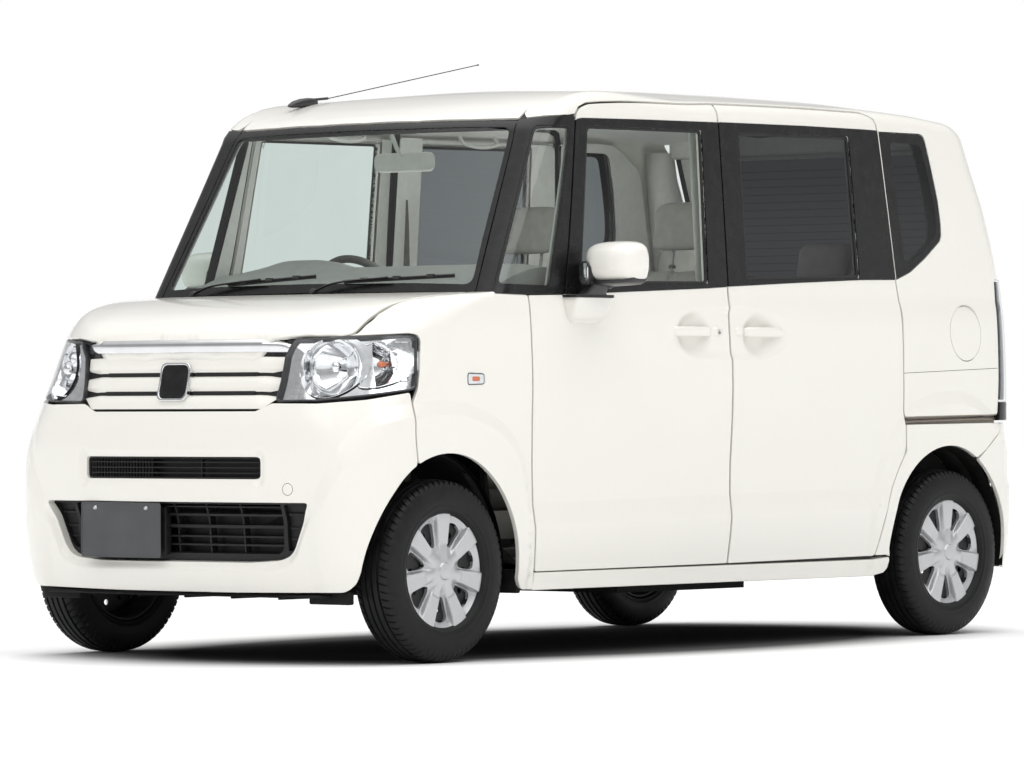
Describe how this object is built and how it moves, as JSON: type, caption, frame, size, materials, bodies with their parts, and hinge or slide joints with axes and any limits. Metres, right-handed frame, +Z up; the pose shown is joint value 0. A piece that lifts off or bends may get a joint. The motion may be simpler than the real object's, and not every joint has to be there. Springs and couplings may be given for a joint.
{
  "type": "kei car",
  "caption": "Tall boxy white kei family wagon with front hinged doors, sliding rear doors, top-hinged tailgate, bonnet, fuel lid, steered front wheels and furnished cabin.",
  "frame": {"origin": "ground level under the middle of the car, half way between the front and rear bumpers, on the centre plane", "axes": "+Z up, car faces -Y, its left side is +X"},
  "size_m": [1.87, 3.3976, 1.8788],
  "materials": {
    "body_paint": "pearl white gloss",
    "clear_glass": "pale green tint",
    "privacy_glass": "dark privacy tint",
    "lamp_lens": "clear lens",
    "tail_lens": "clear and red lens",
    "grille_metal": "bright and satin",
    "black_trim": "black",
    "blank_plate": "plain grey",
    "wheel_silver": "silver paint",
    "tyre_rubber": "black rubber",
    "underbody": "dark coating",
    "hub_iron": "bare",
    "engine_mass": "cast",
    "exhaust_steel": "dull",
    "cabin_plastic": "grained",
    "seat_fabric": "woven beige"
  },
  "bodies": {
    "shell": {"roof_panel": "body_paint", "front_bumper": "body_paint", "rear_bumper": "body_paint", "body_side_left": "body_paint", "body_side_right": "body_paint", "sliding_door_left": "body_paint", "sliding_door_right": "body_paint", "front_wings": "body_paint", "windscreen": "clear_glass", "front_quarter_glass": "clear_glass", "rear_side_glass": "privacy_glass", "headlamps": "lamp_lens", "tail_lamps": "tail_lens", "grille": "grille_metal", "intake_grilles": "black_trim", "wipers": "black_trim", "antenna": "black_trim", "front_plate": "blank_plate", "floor_pan": "underbody", "firewall": "underbody", "front_structure": "underbody", "front_crossmember": "underbody", "rear_axle": "underbody", "fuel_tank": "underbody", "engine": "engine_mass", "radiator": "engine_mass", "exhaust": "exhaust_steel", "dashboard": "cabin_plastic", "front_seats": "seat_fabric", "rear_seat": "seat_fabric"},
    "door_left": {"front_door_left": "body_paint", "front_door_glass_left": "clear_glass", "door_mirror_left": "body_paint"},
    "door_right": {"front_door_right": "body_paint", "front_door_glass_right": "clear_glass", "door_mirror_right": "body_paint"},
    "bonnet_lid": {"bonnet": "body_paint"},
    "hatch": {"tailgate": "body_paint", "tailgate_glass": "privacy_glass", "rear_wiper": "black_trim"},
    "filler_lid": {"fuel_lid": "body_paint"},
    "steer_left": {"front_knuckle_left": "hub_iron"},
    "steer_right": {"front_knuckle_right": "hub_iron"},
    "wheel_fl": {"front_wheel_left": "wheel_silver", "front_tyre_left": "tyre_rubber"},
    "wheel_fr": {"front_wheel_right": "wheel_silver", "front_tyre_right": "tyre_rubber"},
    "wheel_rl": {"rear_wheel_left": "wheel_silver", "rear_tyre_left": "tyre_rubber"},
    "wheel_rr": {"rear_wheel_right": "wheel_silver", "rear_tyre_right": "tyre_rubber"},
    "helm": {"steering_wheel": "cabin_plastic"}
  },
  "joints": [
    {"name": "front_door_left_hinge", "type": "hinge", "parent": "shell", "child": "door_left", "pos_m": [0.731, -0.868, 0.68], "axis": [0, 0, -1], "range_deg": [0, 65]},
    {"name": "front_door_right_hinge", "type": "hinge", "parent": "shell", "child": "door_right", "pos_m": [-0.731, -0.868, 0.68], "axis": [0, 0, 1], "range_deg": [0, 65]},
    {"name": "bonnet_hinge", "type": "hinge", "parent": "shell", "child": "bonnet_lid", "pos_m": [0, -1.058, 1.11], "axis": [-1, 0, 0], "range_deg": [0, 52]},
    {"name": "tailgate_hinge", "type": "hinge", "parent": "shell", "child": "hatch", "pos_m": [0, 1.44, 1.738], "axis": [1, 0, 0], "range_deg": [0, 85]},
    {"name": "fuel_lid_hinge", "type": "hinge", "parent": "shell", "child": "filler_lid", "pos_m": [0.7285, 1.252, 0.988], "axis": [0, 0, -1], "range_deg": [0, 100]},
    {"name": "steer_left_pivot", "type": "hinge", "parent": "shell", "child": "steer_left", "pos_m": [0.612, -1.26, 0.185], "axis": [-0.1083, 0.012, 0.994], "range_deg": [-35, 35]},
    {"name": "steer_right_pivot", "type": "hinge", "parent": "shell", "child": "steer_right", "pos_m": [-0.612, -1.26, 0.185], "axis": [0.1083, 0.012, 0.994], "range_deg": [-35, 35]},
    {"name": "wheel_front_left_spin", "type": "hinge", "parent": "steer_left", "child": "wheel_fl", "pos_m": [0.6525, -1.26, 0.271], "axis": [1, 0, 0], "continuous": true},
    {"name": "wheel_front_right_spin", "type": "hinge", "parent": "steer_right", "child": "wheel_fr", "pos_m": [-0.6525, -1.26, 0.271], "axis": [1, 0, 0], "continuous": true},
    {"name": "wheel_rear_left_spin", "type": "hinge", "parent": "shell", "child": "wheel_rl", "pos_m": [0.6525, 1.26, 0.271], "axis": [1, 0, 0], "continuous": true},
    {"name": "wheel_rear_right_spin", "type": "hinge", "parent": "shell", "child": "wheel_rr", "pos_m": [-0.6525, 1.26, 0.271], "axis": [1, 0, 0], "continuous": true},
    {"name": "steering_wheel_turn", "type": "hinge", "parent": "shell", "child": "helm", "pos_m": [-0.345, -0.424, 1.066], "axis": [0, 0.8829, 0.4695], "range_deg": [-500, 500]}
  ],
  "couplings": [
    {"joint": "steer_right_pivot", "follows": "steer_left_pivot", "ratio": 1},
    {"joint": "steering_wheel_turn", "follows": "steer_left_pivot", "ratio": 14}
  ]
}
